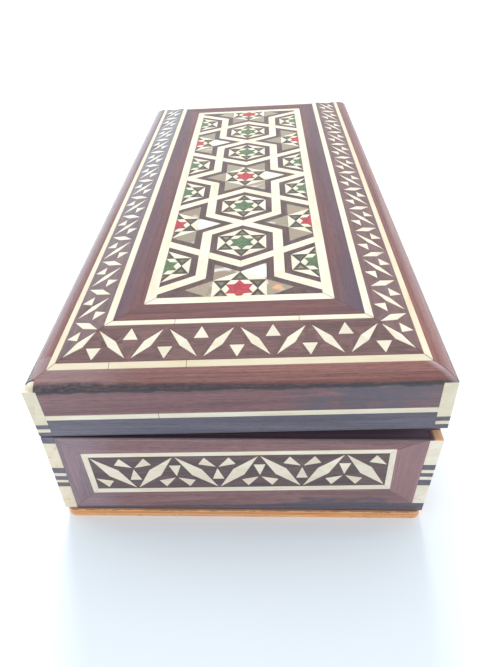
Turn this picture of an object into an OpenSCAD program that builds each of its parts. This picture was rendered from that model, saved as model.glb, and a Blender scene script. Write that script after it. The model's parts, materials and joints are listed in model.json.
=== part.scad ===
// Small hinged wooden box, inlaid with bone, ebony and mother-of-pearl.
// The origin is the centre of the bottom plate's lower face. +X is the opening
// side, -X is the hinge side, +Y runs along the box and +Z is up. Millimetres.

/* [Box] */
// Width, from the hinge side to the opening side
box_w = 100; // [96:1:110]
// Length
box_l = 214; // [206:1:225]
// Height of the base's rim above the table
rim_h = 33.15; // [32.15:0.5:38.15]
// Thickness of the bottom plate
plate_t = 3.5; // [2.5:0.1:4]
// How far the bottom plate stands proud of the sides
plate_lip = 0.2; // [0:0.1:0.5]
// Height of the front's dark foot strip at its left end
foot_l = 0.5; // [0.3:0.1:2]
// Height of the front's dark foot strip at its right end
foot_r = 3.3; // [0.3:0.1:5]
// Thickness of the wooden boards of the base and lid
wall_t = 5.2; // [4.5:0.1:6]
// Thickness of the inlaid skin on the boards
skin_t = 1.2; // [0.8:0.1:1.5]
// Side of the square corner posts
post_w = 3.3; // [2.5:0.1:4]
// Gap left between neighbouring pieces of inlay
glue_gap = 0.06; // [0.04:0.01:0.1]

/* [Base inlay] */
// Height of the wooden border under the rim
border_top = 5; // [4:0.1:6]
// Height of the wooden border over the bottom plate
border_bottom = 8.3; // [7:0.1:9.5]
// Width of the wooden border beside each corner post
border_side = 5.7; // [4:0.1:8]
// Width of the bone line beside each end of a leaf band
line_side = 1.6; // [1.5:0.1:3]
// Width of the bone line over a leaf band
line_top = 1.5; // [1:0.1:2]
// Width of the bone line under a leaf band
line_bottom = 1.8; // [1:0.1:2.5]
// Tilt of the front's inlay, in degrees
front_tilt = 1.9; // [0:0.1:2]
// How far the front's inlay lies towards the hinge side
front_slide = 0.8; // [0:0.1:1.5]
// Leaves along a short face, an odd number
base_leaves_short = 7; // [7:2:7]
// Leaves along a long face, an odd number
base_leaves_long = 17; // [15:2:17]
// Half the width of a leaf on the base
base_leaf_half = 1.8; // [1.2:0.05:1.9]

/* [Lid] */
// Height of the lid's upright sides
lid_side_h = 15.15; // [15.15:0.5:20.15]
// Height of the outer edge of the sloping leaf band over the upright sides
slope_rise = 2.4; // [2:0.1:3]
// Distance of the sloping leaf band's outer edge from the lid's edge
slope_inset = 4.9; // [4.5:0.1:5.5]
// Distance of the flat field from the lid's edge
flat_inset = 16.8; // [16:0.1:18]
// Height of the flat field over the upright sides
flat_rise = 6.1; // [5.5:0.1:7]
// Width of the bone lines on each side of the leaf band
lid_line_w = 1.9; // [1.5:0.1:2.5]
// Distance of the mosaic's bone frame from the lid's edge
frame_inset = 25.4; // [24:0.1:27]
// Width of the mosaic's bone frame
frame_w = 2.8; // [2.5:0.1:4]
// Height of the wooden band along the top of the lid's sides
side_band_h = 7.9; // [7:0.1:9]
// Height of the bone line along the lid's sides
side_line_h = 1.6; // [1.4:0.1:2.5]
// Leaves along a short side, an even number
lid_leaves_short = 8; // [8:2:8]
// Leaves along a long side, an even number
lid_leaves_long = 24; // [22:2:24]
// Half the width of a leaf on the lid
lid_leaf_half = 1.15; // [0.9:0.05:1.2]

/* [Mosaic] */
// Width of the bone straps, as a share of the mosaic's width
strap_share = 0.068; // [0.06:0.001:0.075]
// Corner radius of a star tile, as a share of the mosaic's width
tile_share = 0.195; // [0.19:0.005:0.205]

/* [Hinges] */
// Angle at which the lid rests, where its hinges bind
ajar_deg = 2.3; // [1.5:0.1:3]
// Distance of each hinge's middle from the middle of the box
hinge_y = 66; // [55:1:75]
// Length of a hinge
hinge_l = 18; // [15:0.5:24]
// Width of a hinge leaf, from the pin
leaf_w = 5.2; // [4.6:0.1:5.4]
// Thickness of a hinge leaf
leaf_t = 0.8; // [0.6:0.05:1]
// Outer radius of the knuckles
knuckle_r = 1.5; // [1.3:0.1:1.6]
// Radius of the hinge pins
pin_r = 0.6; // [0.5:0.05:0.7]

/* [Hidden] */

root3 = sqrt(3);
FRONT = 0;
RIGHT = 1;
BACK = 2;
LEFT = 3;
SIDES = [FRONT, RIGHT, BACK, LEFT];

rosewood = [0.42, 0.19, 0.15];
dark_wood = [0.24, 0.13, 0.13];
ebony = [0.11, 0.08, 0.10];
bone = [0.95, 0.91, 0.76];
bone_white = [0.97, 0.96, 0.92];
board_wood = [0.72, 0.43, 0.20];
plate_wood = [0.82, 0.48, 0.20];
pearl = [0.80, 0.80, 0.78];
red_paste = [0.72, 0.10, 0.12];
green_paste = [0.20, 0.45, 0.28];
olive_wood = [0.55, 0.50, 0.38];
brass = [0.78, 0.62, 0.30];
velvet = [0.42, 0.04, 0.10];

// The seam between base and lid, and the hinge axis in the middle of it
seam = 0.3;
hinge_z = rim_h + seam / 2;
hinge_inset = 0.3;
hinge_x = -box_w / 2 + hinge_inset;
lid_z = rim_h + seam;
lid_top_z = lid_z + lid_side_h;
board_z = lid_top_z - 3;
inner_inset = skin_t + wall_t;

// A side's length, and the distance of its outer face from the middle of the box
function side_len(side) = side % 2 == 0 ? box_w : box_l;
function side_dist(side) = side % 2 == 0 ? box_l / 2 : box_w / 2;

// Puts a side's own frame on the box: x along it, y inwards from its face, z up
module on_side(side) {
    rotate([0, 0, 90 * side]) translate([0, -side_dist(side), 0]) children();
}

// Turns what is modelled on the closed lid to where the lid rests
module on_lid() {
    translate([hinge_x, 0, hinge_z])
        rotate([0, -ajar_deg, 0])
            translate([-hinge_x, 0, -hinge_z]) children();
}

// A flat piece of skin on an upright face, from an outline in x and z
module upright_skin() {
    translate([0, skin_t, 0]) rotate([90, 0, 0]) linear_extrude(skin_t) children();
}

// ---- Outlines shared by the inlay -------------------------------------------------

function mid(p, q) = (p + q) / 2;
function polar(r, angle) = [r * cos(angle), r * sin(angle)];
function centroid(pts) = [for (i = [0, 1]) [for (p = pts) p[i]] * [for (p = pts) 1] / len(pts)];

// An outline drawn in towards its middle, so that it doesn't touch its neighbours
function drawn_in(pts, gap) = let (c = centroid(pts))
    [for (p = pts) p + (c - p) / norm(c - p) * gap];

// A leaf: a long lozenge from one tip to the other
function leaf(p, q, half) = let (d = (q - p) / norm(q - p), n = [-d[1], d[0]])
    [p, mid(p, q) - half * n, q, mid(p, q) + half * n];

// A small triangle with its tip towards c, pointing along an angle
function dart(c, angle, tip_r, len, base) = let (d = [cos(angle), sin(angle)], n = [-d[1], d[0]])
    [c + tip_r * d, c + (tip_r + len) * d - base / 2 * n, c + (tip_r + len) * d + base / 2 * n];

// ---- Base: boards -----------------------------------------------------------------

plate_corner_r = 2.4;

module bottom_plate() {
    w = box_w + 2 * plate_lip;
    l = box_l + 2 * plate_lip;
    color(plate_wood)
        linear_extrude(plate_t) {
            square([w - 2 * plate_corner_r, l], center = true);
            square([w, l - 2 * plate_corner_r], center = true);
            for (sx = [-1, 1], sy = [-1, 1])
                translate([sx * (w / 2 - plate_corner_r), sy * (l / 2 - plate_corner_r)])
                    circle(r = plate_corner_r, $fn = 32);
        }
}

// Square columns of the corner posts between two heights, on both sides or on one
module corner_columns(z0, z1, sides_x = [-1, 1]) {
    for (sx = sides_x, sy = [-1, 1])
        translate([sx * (box_w - post_w) / 2, sy * (box_l - post_w) / 2, (z0 + z1) / 2])
            cube([post_w, post_w, z1 - z0], center = true);
}

// One board of a four-board frame. The front and back boards run through.
module wall_board(side, z0, z1) {
    through = side % 2 == 0;
    len = side_len(side) - 2 * (through ? skin_t : inner_inset);
    difference() {
        on_side(side)
            translate([-len / 2, skin_t, z0]) cube([len, wall_t, z1 - z0]);
        if (through)
            corner_columns(z0 - 1, z1 + 1);
    }
}

module base_wall(side) {
    color(board_wood)
        difference() {
            wall_board(side, plate_t, rim_h);
            if (side == LEFT)
                base_hinge_cut();
        }
}

// ---- Base: inlay ------------------------------------------------------------------

// The panel between two corner posts, and the leaf band inside it
function panel_half(side) = side_len(side) / 2 - post_w;
function line_half(side) = panel_half(side) - border_side - slide(side);
function band_half(side) = line_half(side) - line_side;
line_z0 = plate_t + border_bottom;
line_z1 = rim_h - border_top;
band_z0 = line_z0 + line_bottom;
band_z1 = line_z1 - line_top;
leaf_count = [base_leaves_short, base_leaves_long, base_leaves_short, base_leaves_long];

// The front's inlay sits askew: it is off the middle and turned about its own middle
line_mid_z = (line_z0 + line_z1) / 2;
function tilt(side) = side == FRONT ? front_tilt : 0;
function slide(side) = side == FRONT ? front_slide : 0;
function tilted(side, p) = let (a = tilt(side), d = p - [0, line_mid_z])
    [d[0] * cos(a) - d[1] * sin(a) - slide(side), line_mid_z + d[0] * sin(a) + d[1] * cos(a)];
function corners(half, z0, z1) = [[-half, z0], [half, z0], [half, z1], [-half, z1]];
function tilted_corners(side, half, z0, z1) = [for (p = corners(half, z0, z1)) tilted(side, p)];
function foot_top(side) = side == FRONT ? [plate_t + foot_l, plate_t + foot_r] : [plate_t, plate_t];

// A face's panel over its foot, the bone frame on it, and the band inside the frame
function panel_corners(side) = let (half = panel_half(side), low = foot_top(side))
    [[-half, low[0]], [half, low[1]], [half, rim_h], [-half, rim_h]];
function line_corners(side) = tilted_corners(side, line_half(side), line_z0, line_z1);
function band_corners(side) = tilted_corners(side, band_half(side), band_z0, band_z1);

module tilted_outlines(side) {
    translate([-slide(side), line_mid_z])
        rotate(tilt(side)) translate([0, -line_mid_z]) children();
}

// Four mitred strips between two four-cornered outlines
module mitred_strips(outer, inner) {
    for (i = [0:3])
        let (j = (i + 1) % 4, along = (outer[j] - outer[i]) / norm(outer[j] - outer[i]) * glue_gap / 2)
            polygon([outer[i] + along, outer[j] - along, inner[j] - along, inner[i] + along]);
}

module base_border(side) {
    color(rosewood)
        difference() {
            on_side(side) upright_skin()
                mitred_strips(panel_corners(side), line_corners(side));
            if (side == LEFT)
                base_hinge_cut();
        }
}

module base_line(side) {
    color(bone)
        on_side(side) upright_skin()
            mitred_strips(line_corners(side), band_corners(side));
}

// A dark wedge under the front's border makes up for the askew panel. It runs on under
// the post on the opening side.
module foot_under_post() {
    translate([box_w / 2 - post_w, -box_l / 2, plate_t]) cube([post_w, post_w, foot_r]);
}

module base_foot_strip() {
    half = panel_half(FRONT);
    low = foot_top(FRONT);
    color(ebony) {
        on_side(FRONT) upright_skin()
            polygon([[-half, plate_t], [half, plate_t], [half, low[1]], [-half, low[0]]]);
        foot_under_post();
    }
}

// The leaves run in a zigzag, and junctions of an even number lie at the top
tip_gap = 0.3;
function band_pitch(side) = 2 * band_half(side) / leaf_count[side];
function junction_x(side, k) = -band_half(side) + k * band_pitch(side);
function tip_z(k) = k % 2 == 0 ? band_z1 - tip_gap : band_z0 + tip_gap;

module base_leaf_outlines(side) {
    tilted_outlines(side)
        for (k = [0:leaf_count[side] - 1])
            polygon(leaf([junction_x(side, k) + tip_gap, tip_z(k)],
                [junction_x(side, k + 1) - tip_gap, tip_z(k + 1)], base_leaf_half));
}

// Three darts round a point in the mouth of each V of leaves
band_h = band_z1 - band_z0;
dart_tip_r = 0.4;
dart_l = 0.337 * band_h;
dart_b = 3.1;
dart_z = 0.352 * band_h;
dart_tilt = 33;

module base_dart_outlines(side) {
    n = leaf_count[side];
    tilted_outlines(side)
        for (k = [0:n]) {
            up = k % 2 == 1;
            c = [junction_x(side, k), up ? band_z1 - dart_z : band_z0 + dart_z];
            turn = up ? 1 : -1;
            if (k > 0)
                polygon(dart(c, turn * (180 - dart_tilt), dart_tip_r, dart_l, dart_b));
            if (k < n)
                polygon(dart(c, turn * dart_tilt, dart_tip_r, dart_l, dart_b));
            if (k > 0 && k < n)
                polygon(dart(c, -90 * turn, dart_tip_r, dart_l, dart_b));
        }
}

module base_ground(side) {
    color(dark_wood)
        on_side(side) upright_skin()
            difference() {
                polygon(band_corners(side));
                base_leaf_outlines(side);
                base_dart_outlines(side);
            }
}

module base_leaves() {
    color(bone)
        for (side = SIDES)
            on_side(side) upright_skin() base_leaf_outlines(side);
}

module base_triangles() {
    color(bone)
        for (side = SIDES)
            on_side(side) upright_skin() base_dart_outlines(side);
}

// ---- Corner posts: stacks of bone and ebony blocks --------------------------------

// Heights of the blocks from the top down, bone and ebony by turns. The base's posts
// on the hinge side have an ebony block over them.
base_blocks = [9.8, 2, 1.3, 1.5, 1.3, 2.4];
hinge_side_blocks = [2.3, 9.8, 2.1, 1.3, 1.6, 1.1, 1.7];
lid_blocks = [11.1, 1.4, 1.2];

function total(list, n) = n == 0 ? 0 : list[n - 1] + total(list, n - 1);

// Every second block of a stack that runs from z_top down to z_low
module post_blocks(blocks, first, z_top, z_low, sides_x = [-1, 1]) {
    n = len(blocks);
    for (i = [first:2:n])
        corner_columns(i == n ? z_low : z_top - total(blocks, i + 1), z_top - total(blocks, i), sides_x);
}

module base_post(first, tint) {
    color(tint)
        difference() {
            union() {
                post_blocks(base_blocks, first, rim_h, plate_t, [1]);
                post_blocks(hinge_side_blocks, 1 - first, rim_h, plate_t, [-1]);
            }
            base_arris_cut();
            foot_under_post();
        }
}

module lid_post(first, tint) {
    color(tint)
        on_lid()
            difference() {
                union() {
                    post_blocks(lid_blocks, first, lid_top_z, lid_z);
                    if (first == 0)
                        worn_post_top();
                }
                lid_arris_cut();
            }
}

// The lid's front corner on the hinge side is worn: the moulding's corner is gone, and
// the post's rounded top shows there
worn_w = 2.7;
worn_top_h = 1.3;
worn_top_r = 3;

module worn_corner(size, z0, z1) {
    translate([-box_w / 2, -box_l / 2, z0]) cube([size, size, z1 - z0]);
}

module worn_post_top() {
    intersection() {
        worn_corner(worn_w, lid_top_z - 1, lid_top_z + worn_top_h);
        translate([-box_w / 2 + worn_w, -box_l / 2 + worn_w, lid_top_z + worn_top_h - worn_top_r])
            sphere(r = worn_top_r, $fn = 48);
    }
}

// ---- Lid: boards ------------------------------------------------------------------

module lid_wall(side) {
    color(board_wood)
        on_lid()
            difference() {
                wall_board(side, lid_z, board_z);
                if (side == LEFT)
                    lid_hinge_cut();
            }
}

// The slope of the leaf band: v runs up it from its outer edge, d is depth below it
slope_deg = atan((flat_rise - slope_rise) / (flat_inset - slope_inset));
slope_z = lid_top_z + slope_rise;
flat_z = lid_top_z + flat_rise;
flat_t = skin_t * cos(slope_deg);
function slope_v(inset) = (inset - slope_inset) / cos(slope_deg);
function slope_pt(v, d) = [slope_inset + v * cos(slope_deg) + d * sin(slope_deg),
    slope_z + v * sin(slope_deg) - d * cos(slope_deg)];
slope_len = slope_v(flat_inset);

// Half of the board's section across one pair of sides
module board_section(half) {
    low = slope_pt(0, skin_t);
    knee = slope_pt(slope_len, skin_t);
    polygon([[-half + skin_t, board_z], [half - skin_t, board_z], [half - skin_t, lid_top_z],
        [half - low[0], low[1]], [half - knee[0], knee[1]], [-half + knee[0], knee[1]],
        [-half + low[0], low[1]], [-half + skin_t, lid_top_z]]);
}

module lid_board() {
    color(board_wood)
        on_lid()
            difference() {
                intersection() {
                    rotate([90, 0, 0]) linear_extrude(box_l, center = true) board_section(box_w / 2);
                    rotate([90, 0, 90]) linear_extrude(box_w, center = true) board_section(box_l / 2);
                }
                corner_columns(board_z - 1, lid_top_z);
                worn_corner(worn_w + glue_gap, board_z - 1, flat_z);
            }
}

// ---- Lid: inlay on the upright sides ----------------------------------------------

module side_strip(side, z0, z1) {
    half = panel_half(side);
    on_side(side) upright_skin() polygon([[-half, z0], [half, z0], [half, z1], [-half, z1]]);
}

side_line_z1 = lid_top_z - side_band_h;
side_line_z0 = side_line_z1 - side_line_h;

module lid_side_bands() {
    color(rosewood)
        on_lid()
            for (side = SIDES)
                side_strip(side, side_line_z1, lid_top_z);
}

module lid_side_lines() {
    color(bone)
        on_lid()
            for (side = SIDES)
                side_strip(side, side_line_z0, side_line_z1);
}

module lid_foot_bands() {
    color(ebony)
        on_lid()
            difference() {
                for (side = SIDES)
                    side_strip(side, lid_z, side_line_z0);
                lid_hinge_cut();
            }
}

// ---- Lid: inlay on the top --------------------------------------------------------

// The room of one side between the vertical mitre planes at its ends
module mitre_room(side, gap) {
    half = side_len(side) / 2;
    depth = frame_inset + frame_w + 1;
    translate([0, 0, board_z])
        linear_extrude(flat_z - board_z + 1)
            polygon([[-half + gap, 0], [half - gap, 0], [half - depth - gap, depth],
                [-half + depth + gap, depth]]);
}

// Four mitred strips with one section, given in distance from the edge and height
module mitred_frame(section) {
    for (side = SIDES)
        on_side(side)
            intersection() {
                mitre_room(side, glue_gap / 2);
                rotate([90, 0, 90]) linear_extrude(side_len(side), center = true) polygon(section);
            }
}

// A flat strip's section between two distances from the edge
function flat_section(a, b) = [[a, flat_z - flat_t], [b, flat_z - flat_t], [b, flat_z], [a, flat_z]];

// The moulding's section: a low upright edge, then a slightly bulging bevel
moulding_edge = 0.15;
bevel_bulge = 0.45;
bevel_steps = 8;

module lid_moulding() {
    low = [0, lid_top_z + moulding_edge];
    high = slope_pt(0, 0);
    out = [low[1] - high[1], high[0] - low[0]] / norm(high - low);
    bevel = [for (i = [0:bevel_steps])
        let (t = i / bevel_steps) low + (high - low) * t + out * bevel_bulge * 4 * t * (1 - t)];
    color(rosewood)
        on_lid()
            difference() {
                mitred_frame(concat([[0, lid_top_z]], bevel,
                    [slope_pt(0, skin_t), [skin_t, lid_top_z]]));
                worn_corner(worn_w + glue_gap, lid_top_z - 1, flat_z);
            }
}

module lid_outer_line() {
    color(bone)
        on_lid()
            mitred_frame([slope_pt(0, 0), slope_pt(lid_line_w, 0), slope_pt(lid_line_w, skin_t),
                slope_pt(0, skin_t)]);
}

module lid_inner_line() {
    knee = slope_pt(slope_len, skin_t);
    color(bone)
        on_lid()
            mitred_frame([[flat_inset, flat_z], knee, [flat_inset + lid_line_w, flat_z - flat_t],
                [flat_inset + lid_line_w, flat_z]]);
}

module lid_field_band() {
    color(rosewood)
        on_lid()
            mitred_frame(flat_section(flat_inset + lid_line_w, frame_inset));
}

module mosaic_frame() {
    color(bone)
        on_lid()
            mitred_frame(flat_section(frame_inset, frame_inset + frame_w));
}

// A flat piece of skin on the slope, from an outline in x and v
module slope_skin() {
    translate([0, slope_inset, slope_z]) rotate([slope_deg, 0, 0])
        translate([0, 0, -skin_t]) linear_extrude(skin_t) children();
}

// Leaf band: junctions of an even number lie at its inner edge
leaf_end_inset = 15.35;
leaf_outer_inset = 7.6;
leaf_tip_x = 0.75;
tri_b = 3.7;
tri_outer = [7.3, 10.5];
tri_inner = [15.9, 12.6];
lid_leaf_count = [lid_leaves_short, lid_leaves_long, lid_leaves_short, lid_leaves_long];
function lid_pitch(side) = (side_len(side) - 2 * leaf_end_inset) / lid_leaf_count[side];
function lid_junction_x(side, k) = -side_len(side) / 2 + leaf_end_inset + k * lid_pitch(side);
function lid_tip_v(k) = slope_v(k % 2 == 0 ? leaf_end_inset : leaf_outer_inset);

module lid_leaf_outlines(side) {
    for (k = [0:lid_leaf_count[side] - 1])
        polygon(leaf([lid_junction_x(side, k) + leaf_tip_x, lid_tip_v(k)],
            [lid_junction_x(side, k + 1) - leaf_tip_x, lid_tip_v(k + 1)], lid_leaf_half));
}

module lid_triangle_outlines(side) {
    for (k = [0:lid_leaf_count[side]]) {
        ends = k % 2 == 0 ? tri_outer : tri_inner;
        x = lid_junction_x(side, k);
        polygon([[x, slope_v(ends[0])], [x - tri_b / 2, slope_v(ends[1])],
            [x + tri_b / 2, slope_v(ends[1])]]);
    }
}

// The leaf on each mitre: one half of it, at both ends of a side
corner_leaf_outer = 8.2;
corner_leaf_inner = 15.3;
corner_leaf_half = 1.25;

module corner_leaf_outlines(side) {
    half = side_len(side) / 2;
    middle = (corner_leaf_outer + corner_leaf_inner) / 2;
    out = corner_leaf_half / sqrt(2);
    for (s = [-1, 1])
        polygon([[s * (half - corner_leaf_outer), slope_v(corner_leaf_outer)],
            [s * (half - middle - out), slope_v(middle - out)],
            [s * (half - corner_leaf_inner), slope_v(corner_leaf_inner)],
            [s * (half - middle + out), slope_v(middle + out)]]);
}

module lid_leaf_ground() {
    color(dark_wood)
        on_lid()
            for (side = SIDES)
                on_side(side)
                    intersection() {
                        mitre_room(side, glue_gap / 2);
                        slope_skin()
                            difference() {
                                polygon([[-side_len(side) / 2, lid_line_w],
                                    [side_len(side) / 2, lid_line_w],
                                    [side_len(side) / 2, slope_len],
                                    [-side_len(side) / 2, slope_len]]);
                                lid_leaf_outlines(side);
                                lid_triangle_outlines(side);
                                corner_leaf_outlines(side);
                            }
                    }
}

module lid_leaves() {
    color(bone)
        on_lid() {
            for (side = SIDES)
                on_side(side) slope_skin() lid_leaf_outlines(side);
            for (side = SIDES)
                on_side(side)
                    intersection() {
                        mitre_room(side, 0);
                        slope_skin() corner_leaf_outlines(side);
                    }
        }
}

module lid_triangles() {
    color(bone)
        on_lid()
            for (side = SIDES)
                on_side(side) slope_skin() lid_triangle_outlines(side);
}

// ---- Mosaic: six-pointed stars and hexagonal straps -------------------------------

mosaic_w = box_w - 2 * (frame_inset + frame_w);
mosaic_l = box_l - 2 * (frame_inset + frame_w);
strap_w = strap_share * mosaic_w;
tile_r = tile_share * mosaic_w;
ring_r = mosaic_w / (2 * root3);
row = mosaic_w / root3;

// Stars stand on a triangular lattice, in the middle and on both edges
STARS = concat([for (k = [-1:1]) [0, 3 * k * row]],
    [for (sx = [-1, 1], sy = [-1, 1]) [sx * mosaic_w / 2, sy * 1.5 * row]]);

// Rings: place, and the angle of the corner that faces the star in the same column
function facing(q) = ((q % 3) + 3) % 3 == 1 ? -90 : 90;
RINGS = concat([for (q = [-2, -1, 1, 2]) [[0, q * row], facing(q)]],
    [for (sx = [-1, 1], q = [-2.5, -0.5, 0.5, 2.5]) [[sx * mosaic_w / 2, q * row], facing(q - 1.5)]]);

module mosaic_skin() {
    translate([0, 0, flat_z - flat_t]) linear_extrude(flat_t) children();
}

// The mosaic's room inside its frame
module mosaic_room() {
    square([mosaic_w, mosaic_l], center = true);
}

// A hexagon with a corner at the top
module hexagon(r) {
    rotate(90) circle(r = r, $fn = 6);
}

// Rings as one outline, for the straps and for the ground's cut-out
module ring_outlines() {
    for (ring = RINGS)
        translate(ring[0])
            difference() {
                hexagon(ring_r + strap_w / root3);
                hexagon(ring_r - strap_w / root3);
            }
}

// The joints of the straps: mitres at the bends, and butts where one strap
// passes over another
module strap_joints() {
    for (ring = RINGS)
        translate(ring[0]) {
            for (turn = [0, 120, 240])
                rotate(ring[1] + turn)
                    translate([ring_r, 0]) square([3 * strap_w, glue_gap], center = true);
            if (ring[1] < 0)
                for (turn = [60, 180, 300])
                    if (abs(ring[0][1] + ring_r * sin(ring[1] + turn)) < 3 * row - 1)
                        rotate(ring[1] + turn)
                            translate([ring_r, 0]) crossing_joints();
        }
}

module crossing_joints() {
    reach = strap_w / root3;
    for (s = [-1, 1])
        translate([s * reach * cos(-60), s * reach * sin(-60)])
            rotate(60) square([2 * reach + glue_gap, glue_gap], center = true);
}

module mosaic_straps() {
    color(bone)
        on_lid() mosaic_skin()
            intersection() {
                mosaic_room();
                difference() {
                    ring_outlines();
                    strap_joints();
                }
            }
}

// The six pearl triangles round a red tile, and the star that they make with it
function pearl_triangle() = [[tile_r * root3, 0], polar(tile_r, 30), polar(tile_r, -30)];
function pearl_star() = [for (i = [0:11]) polar(i % 2 == 0 ? tile_r * root3 : tile_r, 30 * i)];

module mother_of_pearl() {
    color(pearl)
        on_lid() mosaic_skin()
            intersection() {
                mosaic_room();
                for (p = STARS, turn = [0:60:300])
                    translate(p) rotate(turn) polygon(drawn_in(pearl_triangle(), glue_gap));
            }
}

module mosaic_ground() {
    color(ebony)
        on_lid() mosaic_skin()
            difference() {
                mosaic_room();
                ring_outlines();
                for (p = STARS)
                    translate(p) polygon(pearl_star());
                for (ring = RINGS)
                    translate(ring[0]) hexagon(tile_r);
            }
}

// A tile: its corners are at 30 degrees and every 60 degrees on, and the corners
// of the small hexagon inside it lie between them
tile_notch = 0.3;
function tile_triangle() = [polar(tile_r, 30), polar(tile_r / root3, 0), polar(tile_r, -30)];
function star_arm() = [polar(tile_r, 30), polar(tile_r / root3, 60), polar(tile_r / root3, 0)];
function arm_centre(share) = let (c = centroid(star_arm())) [for (p = star_arm()) c + (p - c) * share];
function kite() = [polar(tile_r / root3, 0), polar(tile_r / 2, 30), polar(tile_notch * tile_r, 0),
    polar(tile_r / 2, -30)];
function star() = [for (i = [0:11])
    polar(i % 2 == 0 ? tile_r / 2 : tile_notch * tile_r, 30 + 30 * i)];
centre_share = 0.42;

// Repeats an outline six times round each tile, and trims it at the frame
module round_tiles(places) {
    on_lid() mosaic_skin()
        intersection() {
            mosaic_room();
            for (p = places)
                translate(p)
                    for (turn = [0:60:300])
                        rotate(turn) children();
        }
}

RING_PLACES = [for (ring = RINGS) ring[0]];
TILES = concat(STARS, RING_PLACES);

module tile_triangles() {
    color(bone)
        round_tiles(TILES) polygon(drawn_in(tile_triangle(), glue_gap));
}

module star_arms() {
    color(ebony)
        round_tiles(TILES)
            difference() {
                polygon(drawn_in(star_arm(), glue_gap));
                polygon(arm_centre(centre_share));
            }
}

module arm_centres() {
    color(olive_wood)
        round_tiles(TILES) polygon(arm_centre(centre_share));
}

module tile_kites() {
    color(bone)
        round_tiles(TILES) polygon(drawn_in(kite(), glue_gap));
}

module stars(places) {
    on_lid() mosaic_skin()
        intersection() {
            mosaic_room();
            for (p = places)
                translate(p) polygon(drawn_in(star(), glue_gap / 2));
        }
}

module red_stars() {
    color(red_paste) stars(STARS);
}

module green_stars() {
    color(green_paste) stars(RING_PLACES);
}

// ---- Linings ----------------------------------------------------------------------

pad_t = 1.6;
liner_t = 1.2;
lining_gap = 0.1;

// Four upright liners inside the boards, between two heights
module wall_liners(z0, z1) {
    for (side = SIDES) {
        ends = side % 2 == 0 ? inner_inset + lining_gap : inner_inset + liner_t + 2 * lining_gap;
        half = side_len(side) / 2 - ends;
        on_side(side)
            translate([-half, inner_inset, z0]) cube([2 * half, liner_t, z1 - z0]);
    }
}

// A flat pad that covers the space inside the boards
module flat_pad(z0) {
    translate([0, 0, z0 + pad_t / 2])
        cube([box_w - 2 * inner_inset - 2 * lining_gap, box_l - 2 * inner_inset - 2 * lining_gap, pad_t],
            center = true);
}

module base_floor_pad() {
    color(velvet) flat_pad(plate_t);
}

module base_wall_liners() {
    color(velvet) wall_liners(plate_t + pad_t + lining_gap, rim_h - 0.6);
}

module lid_ceiling_pad() {
    color(velvet) on_lid() flat_pad(board_z - pad_t);
}

module lid_wall_liners() {
    color(velvet) on_lid() wall_liners(lid_z + 0.6, board_z - pad_t - lining_gap);
}

// ---- Hinges -----------------------------------------------------------------------

// The back arrises are cut away so that the lid can lean back to its stop
arris_deg = 50;
arris_reach = 3;
cut_room = 0.25;
bore_room = 0.05;
knuckle_gap = 0.1;
middle_l = hinge_l / 3;
screw_r = 1.1;
shank_r = 0.45;
shank_l = 3.8;
screw_x = hinge_x + 3.4;
screw_dy = hinge_l / 3;
dome_h = 0.2;
head_seat = 0.4;

// Mirrors what is modelled for the base about the seam, for the lid
module lid_half() {
    translate([0, 0, 2 * hinge_z]) mirror([0, 0, 1]) children();
}

module base_arris_cut() {
    translate([hinge_x, 0, hinge_z])
        rotate([90, 0, 0])
            linear_extrude(box_l + 2, center = true)
                polygon([[0, 0], [-arris_reach, -arris_reach * tan(arris_deg)], [-arris_reach, 1], [0, 1]]);
}

module lid_arris_cut() {
    lid_half() base_arris_cut();
}

module along_y(y, len, r) {
    translate([hinge_x, y, hinge_z])
        rotate([90, 0, 0]) cylinder(h = len, r = r, center = true, $fn = 48);
}

// Room in the wood for one hinge: knuckles, a leaf and the screws
module base_hinge_cut() {
    base_arris_cut();
    for (s = [-1, 1]) {
        along_y(s * hinge_y, hinge_l + 2 * cut_room, knuckle_r + cut_room);
        translate([hinge_x, s * hinge_y - hinge_l / 2, rim_h - leaf_t])
            cube([leaf_w, hinge_l, leaf_t + seam / 2]);
        at_screws(s) screw_shank(shank_r);
    }
}

module lid_hinge_cut() {
    lid_half() base_hinge_cut();
}

module at_screws(s) {
    for (d = [-1, 1])
        translate([screw_x, s * hinge_y + d * screw_dy, rim_h]) children();
}

module screw_shank(r) {
    translate([0, 0, -leaf_t - shank_l]) cylinder(h = leaf_t + shank_l, r = r, $fn = 24);
}

// A round-headed screw, its head low in the leaf
module screw() {
    screw_shank(shank_r);
    rotate_extrude($fn = 32)
        polygon([[0, -head_seat], [screw_r * 0.6, -head_seat], [screw_r, 0],
            [screw_r * 0.6, dome_h * 0.75], [0, dome_h]]);
}

// The lower leaf of each hinge has the two outer knuckles
module lower_leaf(s) {
    difference() {
        union() {
            translate([hinge_x, s * hinge_y - hinge_l / 2, rim_h - leaf_t])
                cube([leaf_w, hinge_l, leaf_t]);
            along_y(s * hinge_y, hinge_l, knuckle_r);
        }
        along_y(s * hinge_y, middle_l + 2 * knuckle_gap, knuckle_r + cut_room / 2);
        along_y(s * hinge_y, hinge_l + 2, pin_r);
        at_screws(s) {
            screw_shank(shank_r);
            translate([0, 0, -head_seat]) cylinder(h = 1, r = screw_r, $fn = 32);
        }
    }
}

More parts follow.
